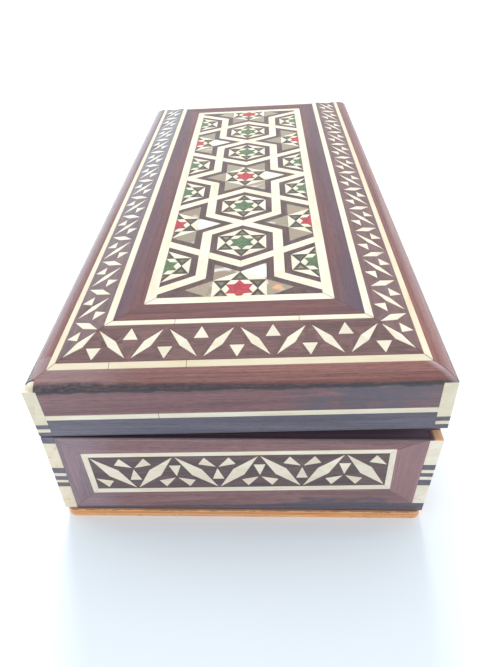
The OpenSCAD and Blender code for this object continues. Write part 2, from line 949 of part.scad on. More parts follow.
module upper_leaf(s) {
    lid_half()
        difference() {
            union() {
                translate([hinge_x, s * hinge_y - hinge_l / 2, rim_h - leaf_t])
                    cube([leaf_w, hinge_l, leaf_t]);
                along_y(s * hinge_y, middle_l, knuckle_r);
            }
            for (d = [-1, 1])
                along_y(s * hinge_y + d * middle_l, middle_l + 2 * knuckle_gap,
                    knuckle_r + cut_room / 2);
            along_y(s * hinge_y, hinge_l + 2, pin_r + bore_room);
            at_screws(s) {
                screw_shank(shank_r);
                translate([0, 0, -head_seat]) cylinder(h = 1, r = screw_r, $fn = 32);
            }
        }
}

module hinge_lower_leaves() {
    color(brass)
        for (s = [-1, 1])
            lower_leaf(s);
}

module hinge_upper_leaves() {
    color(brass)
        on_lid()
            for (s = [-1, 1])
                upper_leaf(s);
}

module hinge_pins() {
    color(brass)
        for (s = [-1, 1])
            along_y(s * hinge_y, hinge_l, pin_r);
}

module hinge_lower_screws() {
    color(brass)
        for (s = [-1, 1])
            at_screws(s) screw();
}

module hinge_upper_screws() {
    color(brass)
        on_lid() lid_half()
            for (s = [-1, 1])
                at_screws(s) screw();
}

bottom_plate();
base_wall(FRONT);  // base_wall_front
base_wall(RIGHT);  // base_wall_right
base_wall(BACK);  // base_wall_back
base_wall(LEFT);  // base_wall_left
base_border(FRONT);  // base_border_front
base_border(RIGHT);  // base_border_right
base_border(BACK);  // base_border_back
base_border(LEFT);  // base_border_left
base_line(FRONT);  // base_line_front
base_line(RIGHT);  // base_line_right
base_line(BACK);  // base_line_back
base_line(LEFT);  // base_line_left
base_ground(FRONT);  // base_ground_front
base_ground(RIGHT);  // base_ground_right
base_ground(BACK);  // base_ground_back
base_ground(LEFT);  // base_ground_left
base_foot_strip();
base_leaves();
base_triangles();
base_post(0, bone);  // base_post_bone
base_post(1, ebony);  // base_post_ebony
base_floor_pad();
base_wall_liners();
hinge_lower_leaves();
hinge_pins();
hinge_lower_screws();
lid_wall(FRONT);  // lid_wall_front
lid_wall(RIGHT);  // lid_wall_right
lid_wall(BACK);  // lid_wall_back
lid_wall(LEFT);  // lid_wall_left
lid_board();
lid_side_bands();
lid_side_lines();
lid_foot_bands();
lid_post(0, bone);  // lid_post_bone
lid_post(1, ebony);  // lid_post_ebony
lid_moulding();
lid_outer_line();
lid_leaf_ground();
lid_leaves();
lid_triangles();
lid_inner_line();
lid_field_band();
mosaic_frame();
mosaic_ground();
mosaic_straps();
mother_of_pearl();
tile_triangles();
star_arms();
arm_centres();
tile_kites();
red_stars();
green_stars();
hinge_upper_leaves();
hinge_upper_screws();
lid_ceiling_pad();
lid_wall_liners();
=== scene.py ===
import json
import math

import bpy
from mathutils import Matrix, Vector, noise


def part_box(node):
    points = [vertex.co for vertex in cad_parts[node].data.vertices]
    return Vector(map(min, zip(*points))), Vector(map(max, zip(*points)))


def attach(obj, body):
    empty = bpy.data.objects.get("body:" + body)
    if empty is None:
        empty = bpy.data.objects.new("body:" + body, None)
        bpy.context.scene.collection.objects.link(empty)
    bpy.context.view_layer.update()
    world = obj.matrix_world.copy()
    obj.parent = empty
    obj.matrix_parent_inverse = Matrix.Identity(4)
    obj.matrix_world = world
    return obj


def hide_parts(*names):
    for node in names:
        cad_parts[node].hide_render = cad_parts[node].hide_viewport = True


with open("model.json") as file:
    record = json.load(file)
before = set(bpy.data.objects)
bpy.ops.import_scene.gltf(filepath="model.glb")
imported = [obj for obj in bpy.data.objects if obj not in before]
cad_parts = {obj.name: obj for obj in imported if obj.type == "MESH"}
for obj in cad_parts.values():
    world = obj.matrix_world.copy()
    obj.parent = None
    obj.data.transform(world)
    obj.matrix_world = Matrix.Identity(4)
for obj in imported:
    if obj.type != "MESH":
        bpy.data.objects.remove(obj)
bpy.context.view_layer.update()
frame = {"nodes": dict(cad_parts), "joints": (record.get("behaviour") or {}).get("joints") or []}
NODES = frame["nodes"]
MM = 0.001

# The box's main measures, in millimetres. The base ends at RIM, and LID_LOW is the lower
# edge of the closed lid, whose upright sides end at LID_TOP. Its board starts at BOARD_LOW.
# POST is the side of a corner post, and INSET the thickness of a wall with its inlay.
WIDTH = 100.0
LENGTH = 214.0
PLATE_T = 3.5
RIM = 33.15
LID_LOW = 33.45
SEAM = (RIM + LID_LOW) / 2
LID_TOP = 48.6
BOARD_LOW = 45.6
POST = 3.3
INSET = 6.4
AJAR = math.radians(2.3)
HINGE = Vector(frame["joints"][0]["pos_m"]) / MM


# ---- Camera, floor and light ----------------------------------------------------------

def new_object(name, data):
    obj = bpy.data.objects.new(name, data)
    bpy.context.scene.collection.objects.link(obj)
    return obj


def make_camera():
    """The reference view: over the front end, a little to the right of the middle."""
    front_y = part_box("base_ground_front")[0].y
    yaw, pitch, roll = math.radians(-1.27), math.radians(38.41), math.radians(-0.63)
    forward = Vector((math.sin(yaw) * math.cos(pitch), math.cos(yaw) * math.cos(pitch), -math.sin(pitch)))
    level = Vector((math.cos(yaw), -math.sin(yaw), 0.0))
    up = level.cross(forward)
    right = math.cos(roll) * level + math.sin(roll) * up
    top = -math.sin(roll) * level + math.cos(roll) * up
    data = bpy.data.cameras.new("camera")
    data.sensor_width = 36.0
    data.lens = 29.4
    data.clip_start = 0.01
    camera = new_object("camera", data)
    place = Matrix((right, top, -forward)).transposed().to_4x4()
    place.translation = Vector((0.0045, front_y - 0.0893, 0.1372))
    camera.matrix_world = place
    bpy.context.scene.camera = camera


def make_floor():
    """A plain, pale floor, far wider than the view."""
    mesh = bpy.data.meshes.new("floor")
    half = 4.0
    corners = [(-half, -half, 0), (half, -half, 0), (half, half, 0), (-half, half, 0)]
    mesh.from_pydata(corners, [], [(0, 1, 2, 3)])
    floor = new_object("floor", mesh)
    look = Look("floor", {"Roughness": 0.5, "Base Color": rgb(0.88, 0.94, 0.97)})
    mesh.materials.append(look.mat)


def area_light(name, place, aim, size, power, color, mirrored=True):
    """A rectangular light. mirrored says whether glossy surfaces show it."""
    data = bpy.data.lights.new(name, "AREA")
    data.shape = "RECTANGLE"
    data.size, data.size_y = size
    data.energy = power
    data.color = color
    light = new_object(name, data)
    light.location = place
    light.visible_glossy = mirrored
    light.visible_camera = False
    light.rotation_mode = "QUATERNION"
    light.rotation_quaternion = (Vector(aim) - Vector(place)).to_track_quat("-Z", "Y")


def make_light():
    """Soft studio light from all sides, with the strongest light from above and behind."""
    bpy.context.scene.view_settings.view_transform = "Standard"
    world = bpy.data.worlds.new("studio")
    world.use_nodes = True
    sky = world.node_tree.nodes["Background"]
    sky.inputs["Color"].default_value = (0.90, 0.96, 1.04, 1)
    sky.inputs["Strength"].default_value = 0.78
    bpy.context.scene.world = world
    area_light("window", (-0.1, 0.8, 0.8), (0, 0, 0), (0.6, 0.35), 12, (1.0, 0.97, 0.94), False)
    area_light("overhead", (-0.1, 0.15, 1.2), (0, 0, 0), (1.1, 1.1), 2.8, (1.0, 0.98, 0.94))
    area_light("left", (-1.1, 0.1, 0.45), (0, 0, 0.03), (0.9, 0.5), 3.4, (0.84, 0.94, 1.0))
    area_light("right", (1.1, 0.0, 0.45), (0, 0, 0.03), (0.9, 0.5), 3.2, (0.95, 0.97, 1.0))
    area_light("back_left", (-1.15, 1.8, 0.22), (0, 0, 0.05), (1.3, 0.45), 1.9, (0.32, 0.78, 1.0))
    area_light("back_right", (1.3, 1.45, 0.42), (0, 0, 0.05), (1.0, 0.5), 1.5, (1.0, 0.90, 0.90))
    area_light("front", (0.1, -1.1, 0.7), (0, 0, 0.03), (0.9, 0.6), 1.05, (1.0, 0.98, 0.98))


# ---- Materials ------------------------------------------------------------------------

def rgb(r, g, b):
    return (r, g, b, 1.0)


class Look:
    """A new material, with short ways to add nodes. Each returns an output socket."""

    def __init__(self, name, settings=()):
        self.mat = bpy.data.materials.new(name)
        self.mat.use_nodes = True
        self.tree = self.mat.node_tree
        self.shader = self.tree.nodes["Principled BSDF"]
        for key, value in dict(settings).items():
            self.shader.inputs[key].default_value = value

    def feed(self, socket, value):
        if isinstance(value, bpy.types.NodeSocket):
            self.tree.links.new(value, socket)
        else:
            socket.default_value = value

    def add(self, kind, sockets=(), **props):
        node = self.tree.nodes.new("ShaderNode" + kind)
        for key, value in props.items():
            setattr(node, key, value)
        for key, value in dict(sockets).items():
            self.feed(node.inputs[key], value)
        return node

    def calc(self, operation, a, b=0.0, c=0.0):
        return self.add("Math", {0: a, 1: b, 2: c}, operation=operation).outputs[0]

    def plus(self, a, b):
        return self.calc("ADD", a, b)

    def minus(self, a, b):
        return self.calc("SUBTRACT", a, b)

    def times(self, a, b):
        return self.calc("MULTIPLY", a, b)

    def size_of(self, a):
        return self.calc("ABSOLUTE", a)

    def fade(self, value, low, high):
        """0 at low, 1 at high and smooth between them."""
        sockets = {"Value": value, "From Min": low, "From Max": high}
        return self.add("MapRange", sockets, interpolation_type="SMOOTHSTEP").outputs[0]

    def near(self, value, place, reach, soft):
        """1 within a distance of a place, fading to 0."""
        return self.fade(self.size_of(self.minus(value, place)), reach + soft, reach)

    def mix(self, factor, a, b, blend="MIX"):
        return self.add("Mix", {0: factor, 6: a, 7: b}, data_type="RGBA", blend_type=blend).outputs[2]

    def ramp(self, value, stops):
        node = self.add("ValToRGB", {0: value})
        points = node.color_ramp.elements
        points[0].position, points[0].color = stops[0]
        points[1].position, points[1].color = stops[-1]
        for place, color in stops[1:-1]:
            points.new(place).color = color
        return node.outputs[0]

    def pack(self, x, y, z):
        return self.add("CombineXYZ", {0: x, 1: y, 2: z}).outputs[0]

    def split(self, vector):
        return self.add("SeparateXYZ", {0: vector}).outputs

    def scaled(self, vector, scales):
        return self.add("VectorMath", {0: vector, 1: scales}, operation="MULTIPLY").outputs[0]

    def noise(self, vector, scales, detail=2.0, roughness=0.5, distortion=0.0):
        sockets = {"Vector": self.scaled(vector, scales), "Scale": 1.0, "Detail": detail,
                   "Roughness": roughness, "Distortion": distortion}
        return self.add("TexNoise", sockets).outputs[0]

    def island(self):
        """A number from 0 to 1 for each separate piece of a node."""
        return self.add("NewGeometry").outputs["Random Per Island"]

    def per_piece(self, vector, reach):
        """Moves a texture by a distance of its own for each separate piece of a node."""
        shift = self.times(self.island(), reach)
        sockets = {0: vector, 1: self.pack(shift, shift, shift)}
        return self.add("VectorMath", sockets, operation="ADD").outputs[0]

    def shaded(self, color, low, reach):
        """Makes each separate piece of a node a little darker or lighter than the next."""
        value = self.plus(low, self.times(self.island(), reach))
        return self.add("HueSaturation", {"Value": value, "Color": color}).outputs[0]

    def place(self, body="base"):
        """Millimetres in the box's frame, with the lid as it is when closed."""
        at = self.scaled(self.add("TexCoord").outputs["Object"], (1 / MM,) * 3)
        if body == "lid":
            shut = Matrix.Rotation(AJAR, 3, "Y")
            at = self.add("Mapping", {"Vector": at, "Location": HINGE - shut @ HINGE,
                                      "Rotation": (0, AJAR, 0)}).outputs[0]
        return at

    def bump(self, height, strength, distance_mm):
        node = self.add("Bump", {"Height": height, "Strength": strength, "Distance": distance_mm * MM})
        self.feed(self.shader.inputs["Normal"], node.outputs[0])

    def finish(self, color, roughness=None):
        self.feed(self.shader.inputs["Base Color"], color)
        if roughness is not None:
            self.feed(self.shader.inputs["Roughness"], roughness)


# The base's border in millimetres: its width beside a post, and its height over the plate
# and under the rim. On the front the frame inside it is off the middle and slopes, and the
# border stands on a wedge.
BORDER_SIDE, BORDER_LOW, BORDER_HIGH = 5.7, 8.3, 5.0
FRONT_OFF_MIDDLE, FRONT_SLOPE, FRONT_FOOT, FRONT_LOW = 1.6, 1.4, 1.9, 6.4


def on_right(look, x):
    """1 on the opening side's half of the box, 0 on the hinge side's."""
    return look.calc("GREATER_THAN", x, 0.0)


def beside_post(look, at, side):
    """1 on the border's strips that stand beside the posts, 0 on those along rim and foot."""
    x, y, z = look.split(at)
    ahead, half = (x, WIDTH / 2 - POST) if side in ("front", "back") else (y, LENGTH / 2 - POST)
    wide, foot, low, high = BORDER_SIDE, PLATE_T, BORDER_LOW, BORDER_HIGH
    if side == "front":
        slope = look.times(x, FRONT_SLOPE / half)
        wide = look.plus(BORDER_SIDE, look.times(on_right(look, x), FRONT_OFF_MIDDLE))
        foot = look.plus(slope, PLATE_T + FRONT_FOOT)
        low = FRONT_LOW
        high = look.minus(BORDER_HIGH, slope)
    inward = look.calc("DIVIDE", look.minus(half, look.size_of(ahead)), wide)
    rise = look.calc("MINIMUM", look.calc("DIVIDE", look.minus(z, foot), low),
                     look.calc("DIVIDE", look.minus(RIM, z), high))
    return look.calc("LESS_THAN", inward, rise)


def past_mitre(look, x, y):
    """Below 0 on what lies along the long sides, above 0 along the ends and 0 on a mitre."""
    from_side = look.minus(WIDTH / 2, look.size_of(x))
    from_end = look.minus(LENGTH / 2, look.size_of(y))
    return look.minus(from_side, from_end)


def along_strip(look, at, run):
    """Coordinates along the grain and across it. run is the axis the strips follow, "round"
    for strips that follow the lid's edges, or the side of the base whose border it is."""
    x, y, z = look.split(at)
    if run == "x":
        return look.pack(x, y, z)
    if run == "y":
        return look.pack(y, x, z)
    if run == "round":
        turned = look.calc("LESS_THAN", past_mitre(look, x, y), 0.0)
        first, second = look.pack(x, y, z), look.pack(y, x, z)
    else:
        turned = beside_post(look, at, run)
        ahead, across = (x, y) if run in ("front", "back") else (y, x)
        first, second = look.pack(ahead, across, z), look.pack(z, ahead, across)
    return look.add("Mix", {0: turned, 4: first, 5: second}, data_type="VECTOR").outputs[1]


LACQUER = {"IOR": 1.5, "Coat Weight": 0.45, "Coat Roughness": 0.16}


def gained(color, gain):
    return (color[0] * gain[0], color[1] * gain[1], color[2] * gain[2], 1.0)


def wood(name, body, run, tones, gain=(1, 1, 1), extra=None, shade=0.16):
    """Lacquered wood: broad figure, fine streaks and short dark pores along the grain."""
    look = Look(name, LACQUER)
    dark, middle, light = [gained(tone, gain) for tone in tones]
    at = look.place(body)
    grain = look.per_piece(along_strip(look, at, run), 700.0)
    figure = look.noise(grain, (0.015, 0.32, 0.32), 3.0, 0.55, 0.3)
    streaks = look.noise(grain, (0.035, 3.2, 3.2), 4.0, 0.65)
    fine = look.noise(grain, (0.45, 8.0, 8.0), 3.0, 0.7)
    tone = look.plus(look.times(figure, 0.34), look.plus(look.times(streaks, 0.33), look.times(fine, 0.33)))
    color = look.ramp(tone, [(0.39, dark), (0.5, middle), (0.61, light)])
    pore = look.fade(look.noise(grain, (0.28, 6.5, 6.5), 2.0, 0.5), 0.60, 0.70)
    color = look.mix(look.times(pore, 0.6), color, gained(dark, (0.45, 0.45, 0.45)))
    color = look.shaded(color, 1.0 - shade / 2, shade)
    roughness = look.plus(0.30, look.plus(look.times(pore, 0.2), look.times(fine, 0.12)))
    if extra:
        color, roughness = extra(look, at, color, roughness)
    look.bump(look.minus(look.times(streaks, 0.4), pore), 0.35, 0.05)
    look.finish(color, roughness)
    return look.mat


def bone(name, body, run, tint=rgb(0.73, 0.67, 0.52), joints=(), mitred=False, extra=None):
    """Polished bone: cream, with faint streaks and small specks. joints are the places of the
    glued joints along the front, and mitred strips have one more at each corner."""
    look = Look(name, {"IOR": 1.5, "Coat Weight": 0.3, "Coat Roughness": 0.2})
    at = look.place(body)
    grain = look.per_piece(along_strip(look, at, run), 300.0)
    cloud = look.noise(grain, (0.08, 0.35, 0.35), 3.0, 0.55)
    streaks = look.noise(grain, (0.25, 5.0, 5.0), 3.0, 0.6)
    pale, warm = gained(tint, (1.06, 1.08, 1.14)), gained(tint, (0.90, 0.84, 0.70))
    color = look.ramp(look.plus(look.times(cloud, 0.6), look.times(streaks, 0.4)),
                      [(0.30, warm), (0.48, tint), (0.62, pale)])
    specks = look.fade(look.noise(grain, (0.9, 3.2, 3.2), 2.0, 0.6), 0.68, 0.76)
    color = look.mix(look.times(specks, 0.35), color, rgb(0.42, 0.30, 0.17))
    color = look.shaded(color, 0.93, 0.1)
    x, y, z = look.split(at)
    line = 0.0
    for place in joints:
        line = look.calc("MAXIMUM", line, look.near(x, place, 0.05, 0.06))
    line = look.times(line, look.calc("LESS_THAN", y, 0.0))
    if mitred:
        line = look.calc("MAXIMUM", line, look.near(past_mitre(look, x, y), 0.0, 0.08, 0.12))
    color = look.mix(look.times(line, 0.8), color, rgb(0.10, 0.06, 0.045))
    roughness = look.plus(0.30, look.times(streaks, 0.15))
    if extra:
        color, roughness = extra(look, at, color, roughness)
    look.bump(look.minus(streaks, specks), 0.25, 0.03)
    look.finish(color, roughness)
    return look.mat


# The middles of the pieces of shell that shine white, and of the painted orange reflection on one
WHITE_SHELL = ((4.9, -67.0), (-12.0, -37.8), (9.8, 0.0), (-12.0, 37.8))
ORANGE_REFLECTION = (10.2, -75.6)


def away_from(look, x, y, spot):
    return look.plus(look.size_of(look.minus(x, spot[0])), look.size_of(look.minus(y, spot[1])))


def pearl(name):
    """Shell: each piece has its own tone, with soft pink and green bands, painted highlights
    and a painted orange reflection.
    """
    look = Look(name, {"IOR": 1.55, "Coat Weight": 0.35, "Coat Roughness": 0.08, "Metallic": 0.05})
    at = look.place("lid")
    moved = look.per_piece(at, 400.0)
    tone = look.ramp(look.island(), [
        (0.0, rgb(0.36, 0.31, 0.24)), (0.18, rgb(0.34, 0.33, 0.28)), (0.36, rgb(0.30, 0.21, 0.155)),
        (0.52, rgb(0.42, 0.39, 0.33)), (0.68, rgb(0.28, 0.27, 0.23)), (0.84, rgb(0.50, 0.47, 0.44)),
        (1.0, rgb(0.40, 0.31, 0.25))])
    x, y, z = look.split(at)
    for spot in WHITE_SHELL:
        tone = look.mix(look.fade(away_from(look, x, y, spot), 7.0, 4.5), tone, rgb(1.15, 1.32, 1.55))
    layers = look.noise(moved, (0.22, 0.30, 0.3), 2.5, 0.5, 1.6)
    tint = look.ramp(layers, [
        (0.34, rgb(0.40, 0.50, 0.38)), (0.43, rgb(0.52, 0.50, 0.45)), (0.50, rgb(0.60, 0.42, 0.38)),
        (0.57, rgb(0.50, 0.54, 0.56)), (0.66, rgb(0.38, 0.50, 0.42))])
    color = look.mix(1.0, look.mix(0.34, tone, tint), rgb(0.75, 0.69, 0.555), "MULTIPLY")
    # Painted highlights: soft white patches where the shell seems to gleam
    gleam_highlight = look.fade(look.noise(moved, (0.10, 0.12, 0.12), 2.0, 0.5, 0.8), 0.58, 0.70)
    color = look.mix(look.times(gleam_highlight, 0.6), color, rgb(0.88, 0.89, 0.87))
    color = look.mix(look.fade(look.noise(moved, (0.3, 4.0, 4.0), 2.0), 0.5, 0.7), color,
                     look.mix(1.0, color, rgb(0.86, 0.84, 0.80), "MULTIPLY"))
    # A painted orange reflection on one piece of shell, with a ragged edge
    ragged = look.times(look.noise(at, (0.5, 0.8, 0.8), 3.0), 3.0)
    away = look.plus(away_from(look, x, y, ORANGE_REFLECTION), ragged)
    color = look.mix(look.times(look.fade(away, 3.6, 1.9), 0.8), color, rgb(0.95, 0.36, 0.17))
    look.bump(layers, 0.12, 0.1)
    look.finish(color, look.plus(0.16, look.times(layers, 0.15)))
    return look.mat


def paste(name, dark, light):
    """Coloured inlay: one strong colour, a little mottled."""
    look = Look(name, {"IOR": 1.5, "Coat Weight": 0.4, "Coat Roughness": 0.15})
    at = look.place("lid")
    mottle = look.noise(at, (1.1, 1.1, 1.1), 4.0, 0.65)
    color = look.shaded(look.ramp(mottle, [(0.35, dark), (0.62, light)]), 0.85, 0.3)
    look.bump(mottle, 0.2, 0.04)
    look.finish(color, look.plus(0.25, look.times(mottle, 0.2)))
    return look.mat


def plywood():
    """Plywood's edge: a darker core between two plies, small gaps and a ragged dark band along its top."""
    look = Look("plywood", {"IOR": 1.5, "Coat Weight": 0.25, "Coat Roughness": 0.25})
    at = look.place()
    x, y, z = look.split(at)
    grain = along_strip(look, at, "round")
    streaks = look.noise(grain, (0.12, 2.0, 5.0), 4.0, 0.6)
    color = look.ramp(streaks, [(0.32, rgb(0.55, 0.21, 0.06)), (0.48, rgb(0.88, 0.38, 0.13)),
                                (0.64, rgb(0.96, 0.52, 0.22))])
    core = look.near(z, PLATE_T / 2, 0.35, 0.15)
    color = look.mix(look.times(core, 0.35), color, rgb(0.40, 0.17, 0.06))
    gaps = look.fade(look.noise(grain, (0.5, 0.5, 1.4), 3.0, 0.7), 0.60, 0.68)
    low = look.fade(z, 1.3, 0.2)
    color = look.mix(look.times(look.times(gaps, low), 0.8), color, rgb(0.09, 0.04, 0.02))
    dark_top = look.fade(look.plus(z, look.times(look.noise(grain, (0.35, 1.0, 1.0), 3.0, 0.7), 2.4)), 3.6, 4.2)
    color = look.mix(look.times(dark_top, 0.75), color, rgb(0.13, 0.06, 0.04))
    look.bump(look.minus(streaks, gaps), 0.4, 0.08)
    look.finish(color, look.plus(0.35, look.times(streaks, 0.2)))
    return look.mat


def board(name, body):
    """Bare softwood inside; its edge at the seam is dark, a purplish grey."""
    look = Look(name, {"IOR": 1.45})
    at = look.place(body)
    z = look.split(at)[2]
    grain = along_strip(look, at, "round")
    rings = look.noise(grain, (0.01, 0.5, 0.5), 3.0, 0.6, 1.2)
    streaks = look.noise(grain, (0.08, 4.0, 4.0), 4.0, 0.6)
    color = look.ramp(look.plus(look.times(rings, 0.6), look.times(streaks, 0.4)),
                      [(0.36, rgb(0.36, 0.17, 0.07)), (0.5, rgb(0.55, 0.30, 0.14)),
                       (0.62, rgb(0.66, 0.40, 0.21))])
    seam = look.near(z, SEAM, 0.35, 0.2)
    color = look.mix(look.times(seam, 0.96), color, rgb(0.11, 0.075, 0.11))
    look.bump(streaks, 0.3, 0.06)
    look.finish(color, look.plus(0.5, look.times(streaks, 0.2)))
    return look.mat


def brass():
    """Dull brass, cloudy and finely scratched."""
    look = Look("brass", {"Metallic": 1.0})
    at = look.place()
    cloud = look.noise(at, (0.35, 0.35, 0.35), 4.0, 0.6)
    scratches = look.noise(at, (7.0, 0.6, 7.0), 3.0, 0.6)
    color = look.ramp(cloud, [(0.35, rgb(0.34, 0.22, 0.08)), (0.5, rgb(0.62, 0.45, 0.18)),
                              (0.68, rgb(0.76, 0.60, 0.30))])
    look.bump(scratches, 0.15, 0.02)
    look.finish(color, look.plus(0.22, look.times(scratches, 0.3)))
    return look.mat


def velvet():
    """Dark red velvet with a short pile that is brushed in broad patches."""
    look = Look("velvet", {"Roughness": 0.95, "Sheen Weight": 0.35, "Sheen Roughness": 0.35,
                           "Sheen Tint": rgb(1.0, 0.45, 0.5), "Specular IOR Level": 0.1})
    at = look.place()
    nap = look.noise(at, (0.05, 0.03, 0.05), 3.0, 0.6, 1.0)
    pile = look.noise(at, (4.5, 4.5, 4.5), 2.0, 0.7)
    color = look.ramp(look.plus(look.times(nap, 0.7), look.times(pile, 0.3)),
                      [(0.36, rgb(0.07, 0.002, 0.006)), (0.5, rgb(0.14, 0.005, 0.012)),
                       (0.64, rgb(0.22, 0.010, 0.024))])
    look.bump(pile, 0.5, 0.12)
    look.finish(color)
    return look.mat


# Woods, each from dark to light
ROSE = (rgb(0.085, 0.030, 0.030), rgb(0.165, 0.065, 0.060), rgb(0.26, 0.115, 0.10))
DARK = (rgb(0.045, 0.024, 0.026), rgb(0.085, 0.045, 0.048), rgb(0.14, 0.078, 0.078))
EBON = (rgb(0.054, 0.044, 0.066), rgb(0.094, 0.079, 0.117), rgb(0.150, 0.127, 0.172))
OLIVE = (rgb(0.03, 0.028, 0.022), rgb(0.06, 0.056, 0.045), rgb(0.11, 0.10, 0.08))
OLIVE_LIGHT = (rgb(0.11, 0.075, 0.045), rgb(0.18, 0.13, 0.085), rgb(0.29, 0.22, 0.15))
BONE_UPRIGHT = rgb(0.88, 0.78, 0.61)

# How far behind the front's face its stains and painted highlights reach, in millimetres
FRONT_DEPTH = 10.0


def front_face(look, y):
    return look.calc("LESS_THAN", y, FRONT_DEPTH - LENGTH / 2)


def top_seam(look, at, color, roughness):
    """The dark, rough joint under the moulding, and a blue-black stain at the front."""
    x, y, z = look.split(at)
    rough = look.noise(at, (0.16, 0.16, 0.5), 4.0, 0.7)
    edge = look.fade(look.plus(z, look.times(rough, 2.6)), LID_TOP + 0.3, LID_TOP + 0.9)
    blue = look.times(front_face(look, y), look.near(x, 30.0, 11.0, 10.0))
    cloud = look.fade(look.noise(at, (0.10, 0.2, 0.30), 4.0, 0.65), 0.32, 0.60)
    color = look.mix(look.times(look.times(blue, cloud), 0.8), color, rgb(0.072, 0.074, 0.104))
    color = look.mix(look.times(edge, 0.9), color, rgb(0.030, 0.024, 0.030))
    return color, look.plus(roughness, look.times(edge, 0.3))


def moulding_wear_and_highlights(look, at, color, roughness):
    """The moulding at the front: its lower arris is dark and rough, its left end has a pale
    painted highlight, and its right mitre a pinkish painted highlight."""
    x, y, z = look.split(at)
    rough = look.noise(at, (0.22, 0.5, 0.9), 6.0, 0.75)
    reach = look.plus(0.4, look.times(look.fade(x, 25.0, -38.0), 0.65))
    top = look.times(reach, look.plus(0.1, look.times(rough, 1.8)))
    dark = look.fade(look.minus(look.minus(z, LID_TOP), top), 0.45, -0.25)
    speckle = look.fade(look.noise(at, (0.5, 1.2, 1.6), 4.0, 0.7), 0.38, 0.66)
    front = front_face(look, y)
    dark = look.times(look.times(dark, front), look.minus(0.95, look.times(speckle, 0.35)))
    # Painted highlight: a pale, bluish sheen over the left end of the front
    left_highlight = look.times(front, look.fade(x, -18.0, -40.0))
    color = look.mix(look.times(left_highlight, 0.14), color, rgb(0.62, 0.56, 0.60))
    color = look.mix(dark, color, rgb(0.026, 0.025, 0.034))
    # Painted highlight: a pinkish band along the front's right mitre
    across = past_mitre(look, x, y)
    mitre_highlight = look.times(look.fade(across, 2.4, 0.3), look.calc("GREATER_THAN", across, 0.0))
    mitre_highlight = look.times(look.times(mitre_highlight, front), on_right(look, x))
    color = look.mix(look.times(mitre_highlight, 0.42), color, rgb(0.62, 0.52, 0.55))
    return color, look.plus(roughness, look.times(dark, 0.25))


def field_wear(look, at, color, roughness):
    """The flat band's side strips are cooler along their outer half, and so is its front
    right corner."""
    x, y, z = look.split(at)
    strip = look.calc("LESS_THAN", past_mitre(look, x, y), 0.0)
    cloud = look.noise(at, (0.35, 0.06, 0.3), 3.0, 0.6)
    cool = look.fade(look.plus(look.size_of(x), look.times(cloud, 5.0)), 27.0, 33.0)
    corner = look.times(look.near(x, 29.0, 3.0, 7.0), look.near(y, -80.0, 8.0, 14.0))
    share = look.plus(look.times(look.times(strip, cool), 0.5), look.times(corner, 0.22))
    return look.mix(share, color, rgb(0.070, 0.055, 0.085)), roughness


def front_stain_and_reflections(look, at, color, roughness):
    """The front's border: a painted bluish-grey reflection on the left, a redder, lighter strip
    of painted reflection on the right, and a blue-black stain that creeps up from the foot strip."""
    x, y, z = look.split(at)
    # Painted reflection: the left end is lit a bluish grey
    color = look.mix(look.times(look.fade(x, -30.0, -41.0), 0.20), color, rgb(0.36, 0.33, 0.45))
    # Painted reflection: the strip beside the right post is redder and lighter
    right_strip_reflection = look.times(beside_post(look, at, "front"), on_right(look, x))
    color = look.mix(look.times(right_strip_reflection, 0.30), color, rgb(0.47, 0.25, 0.26))
    cloud = look.noise(at, (0.09, 0.3, 0.5), 4.0, 0.65)
    top = look.plus(PLATE_T + 0.6, look.times(look.near(x, 26.0, 9.0, 16.0), look.times(cloud, 8.0)))
    stain = look.fade(look.minus(z, top), 0.7, -0.5)
    color = look.mix(look.times(stain, 0.75), color, rgb(0.055, 0.060, 0.090))
    return seam_edge(look, at, color, roughness)


def seam_edge(look, at, color, roughness):
    """The wood is dark beside the seam between base and lid."""
    z = look.split(at)[2]
    rough = look.noise(at, (0.25, 0.25, 0.5), 4.0, 0.7)
    reach = look.times(rough, 1.1)
    dark = look.fade(look.minus(look.size_of(look.minus(z, SEAM)), reach), 0.35, -0.05)
    return look.mix(look.times(dark, 0.75), color, rgb(0.05, 0.038, 0.055)), roughness


def post_wear_and_light(look, at, color, roughness):
    """The base's posts are bare at the top on the opening side, in painted shade inward and
    painted light at the outer corner, and yellower on the hinge side. Both are a little dirty."""
    x, y, z = look.split(at)
    top = look.fade(z, RIM - 0.45, RIM - 0.2)
    open_side = on_right(look, x)
    color = look.mix(look.minus(1.0, open_side), color, rgb(0.95, 0.90, 0.82), "MULTIPLY")
    inner = WIDTH / 2 - POST
    # Painted shade and light on the bare top: near black inward under the lid, light orange at the outer
    # corner
    bare_top_shade_and_light = look.mix(look.fade(x, inner + 0.6, inner + 1.6), rgb(0.12, 0.06, 0.07), rgb(0.78, 0.42, 0.22))
    color = look.mix(look.times(top, open_side), color, bare_top_shade_and_light)
    dirt = look.fade(look.noise(at, (0.5, 0.5, 0.9), 3.0, 0.7), 0.56, 0.70)
    return look.mix(look.times(dirt, 0.35), color, rgb(0.35, 0.24, 0.13)), roughness


# Where the strips of each bone line are joined along the front, in millimetres from its middle
SIDE_LINE_JOINTS = (-19.2,)
OUTER_LINE_JOINTS = (-30.2, -11.8)
INNER_LINE_JOINTS = (-15.5, 15.1)


